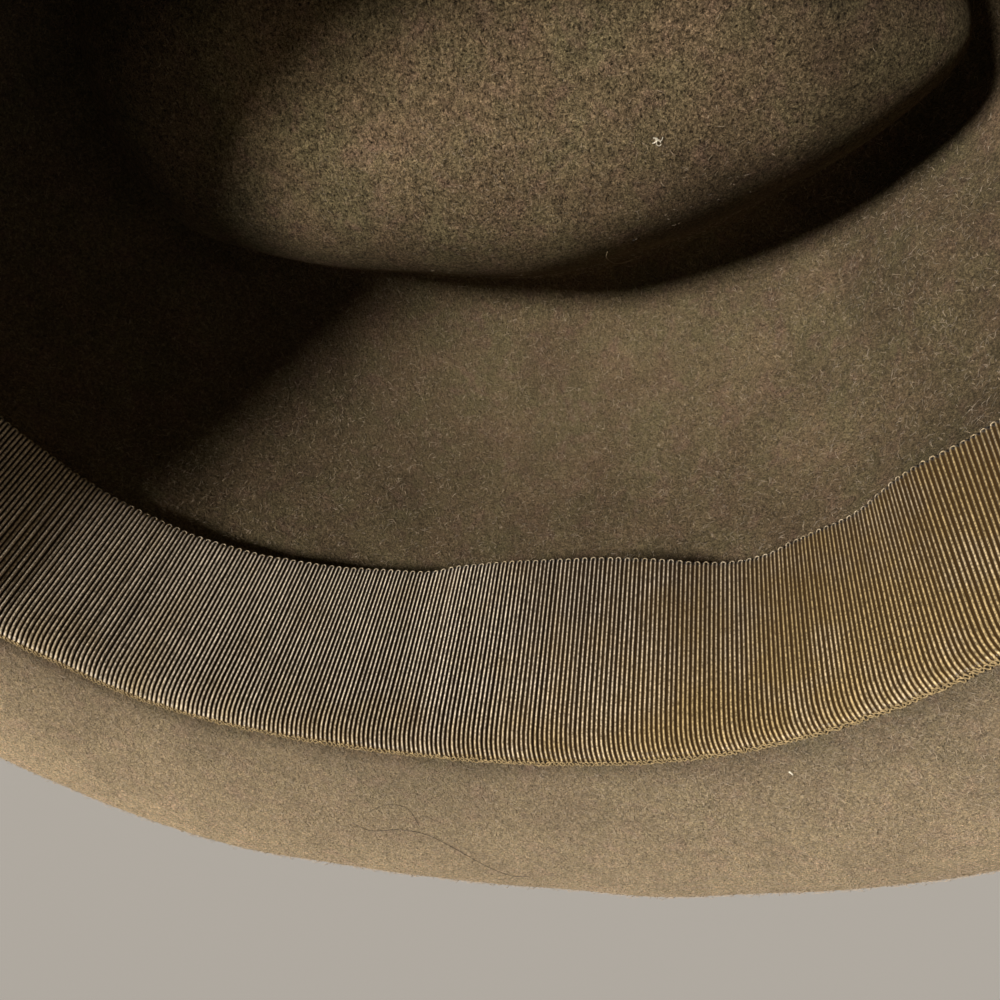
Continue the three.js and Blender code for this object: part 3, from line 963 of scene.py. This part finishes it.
def make_hat_band():
    low, width = 5.2, 35.0
    fine = np.radians(np.linspace(0, 360, 3601))
    foot = ring(wall_at(low + width / 2), fine, 1.0, FELT + 0.8)
    run = np.concatenate([[0], np.cumsum(np.linalg.norm(np.diff(foot, axis=0), axis=-1))])
    ribs = int(round(run[-1] / 0.82))
    per = 5
    cols = ribs * per
    s = np.arange(cols) * run[-1] / cols
    angle = np.interp(s, run, fine)
    phase = (np.arange(cols) % per) / per
    profile = np.abs(np.sin(math.pi * phase)) ** 0.8
    levels = [0.0, 1.2, 8, 17.5, 27, 33.8, 35.0]
    rows, crest = [], []
    for v in levels:
        edge = 0.5 if v in (0.0, 35.0) else 1.0
        base = ring(wall_at(low + v), angle, 1.0)
        outside = ring(wall_at(low + v), angle, 1.0, 1.0) - base
        w = FELT + 0.95 + (uneven(base)) + 0.26 * profile * edge
        rows.append(base + outside * w[:, None])
        crest.append(profile)
    for v in (35.0, 17.5, 0.0):
        base = ring(wall_at(low + v), angle, 1.0)
        outside = ring(wall_at(low + v), angle, 1.0, 1.0) - base
        rows.append(base + outside * (FELT + 0.38 + uneven(base))[:, None])
        crest.append(np.full(cols, 0.7))
    rows = np.array(rows)
    n = rows.shape[0] * cols
    ob = make_piece(
        "hat_band_ribbon",
        rows.reshape(-1, 3),
        grid_quads(len(rows), cols, wrap_rows=True),
        attrs={"crest": np.concatenate(crest), "gold": np.full(n, 0.3)},
        material=OUTER_MAT,
    )
    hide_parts("hat_band")
    # the lapped end, sewn down on the wearer's left
    at = math.radians(172)
    lap_cols = 14 * per
    lap_angle = at + (np.arange(lap_cols + 1) - lap_cols / 2) * (0.82 / per) / HEAD_HALF_WIDTH / 1.07
    lp = np.abs(np.sin(math.pi * (np.arange(lap_cols + 1) % per) / per)) ** 0.8
    fronts, backs = [], []
    for v in levels:
        base = ring(wall_at(low + v), lap_angle, 1.0)
        outside = ring(wall_at(low + v), lap_angle, 1.0, 1.0) - base
        fronts.append(base + outside * (FELT + 1.75 + uneven(base) + 0.24 * lp)[:, None])
        backs.append(base + outside * (FELT + 1.18 + uneven(base))[:, None])
    f, b = np.array(fronts), np.array(backs)
    r, c = f.shape[:2]
    verts = np.concatenate([f.reshape(-1, 3), b.reshape(-1, 3)])
    i, j = np.meshgrid(np.arange(r - 1), np.arange(c - 1), indexing="ij")
    q = np.stack([i * c + j, i * c + j + 1, (i + 1) * c + j + 1, (i + 1) * c + j], -1).reshape(-1, 4)
    o = r * c
    sides = []
    for jj in range(c - 1):
        sides.append([jj + 1, jj, o + jj, o + jj + 1])
        e = (r - 1) * c + jj
        sides.append([e, e + 1, o + e + 1, o + e])
    for ii in range(r - 1):
        a0, a1 = ii * c, (ii + 1) * c
        sides.append([a0, a1, o + a1, o + a0])
        b0, b1 = ii * c + c - 1, (ii + 1) * c + c - 1
        sides.append([b1, b0, o + b0, o + b1])
    quads = np.concatenate([q, q[:, ::-1] + o, np.array(sides)])
    crest_lap = np.concatenate([np.tile(lp, r), np.full(r * c, 0.7)])
    make_piece(
        "hat_band_lap",
        verts,
        quads,
        attrs={"crest": crest_lap, "gold": np.full(len(verts), 0.3)},
        material=OUTER_MAT,
    )
    # its stitches
    rng = np.random.default_rng(51)
    rows_v = np.linspace(1.6, 33.4, 12)
    paths = []
    for edge in (-1, 1):
        for v in rows_v:
            a0 = at + edge * (lap_cols / 2 - 6) * (0.82 / per) / HEAD_HALF_WIDTH / 1.07
            pts = []
            for t in np.linspace(0, 1, 5):
                vv = v + 1.5 * t + rng.normal(0, 0.03)
                row = wall_at(low + vv)
                base = ring(row, np.array([a0]), 1.0)[0]
                outside = ring(row, np.array([a0]), 1.0, 1.0)[0] - base
                pts.append(base + outside * (FELT + 1.72 + float(uneven(base[None])[0]) + 0.3 * math.sin(math.pi * t)))
            paths.append(pts)
    verts, quads, tris = tubes(np.array(paths), 0.13, 6, np.array([0.3, 0.9, 0.1]))
    make_piece("hat_band_stitches", verts, quads, tris, material=OUTER_THREAD_MAT)


make_hat_band()


# ---------------------------------------------------------------- stage
def make_stage():
    me = bpy.data.meshes.new("floor")
    h = 30.0
    me.from_pydata([(-h, -h, 0), (h, -h, 0), (h, h, 0), (-h, h, 0)], [], [(0, 1, 2, 3)])
    floor = bpy.data.objects.new("floor", me)
    bpy.context.scene.collection.objects.link(floor)
    me.materials.append(plain_material("floor_paper", (0.362, 0.347, 0.326), 0.8, 0.2))

    def lamp(name, towards, distance, size, power, colour):
        d = Vector(towards).normalized()
        data = bpy.data.lights.new(name, "AREA")
        data.shape = "DISK"
        data.size = size
        data.energy = power
        data.color = colour
        ob = bpy.data.objects.new(name, data)
        bpy.context.scene.collection.objects.link(ob)
        ob.location = Vector((0, 0, 0.06)) + d * distance
        ob.rotation_mode = "QUATERNION"
        ob.rotation_quaternion = (-d).to_track_quat("-Z", "Y")

    e, a = math.radians(42.1), math.radians(36.9)
    key = (math.cos(a) * math.cos(e), math.sin(a) * math.cos(e), math.sin(e))
    data = bpy.data.lights.new("key", "SUN")
    data.angle = math.radians(10.1)
    data.energy = 5.05
    data.color = (1.0, 0.965, 0.92)
    ob = bpy.data.objects.new("key", data)
    bpy.context.scene.collection.objects.link(ob)
    ob.location = Vector(key) * 3.0
    ob.rotation_mode = "QUATERNION"
    ob.rotation_quaternion = (-Vector(key)).to_track_quat("-Z", "Y")
    lamp("fill", (-0.35, -0.6, 0.9), 2.4, 2.2, 1.5, (0.95, 0.97, 1.0))
    world = bpy.data.worlds.new("world")
    bpy.context.scene.world = world
    world.use_nodes = True
    bg = world.node_tree.nodes["Background"]
    bg.inputs[0].default_value = (1.0, 0.86, 0.66, 1.0)
    bg.inputs[1].default_value = 0.103


make_stage()
bpy.context.scene.view_settings.view_transform = "Standard"
bpy.context.scene.view_settings.look = "None"
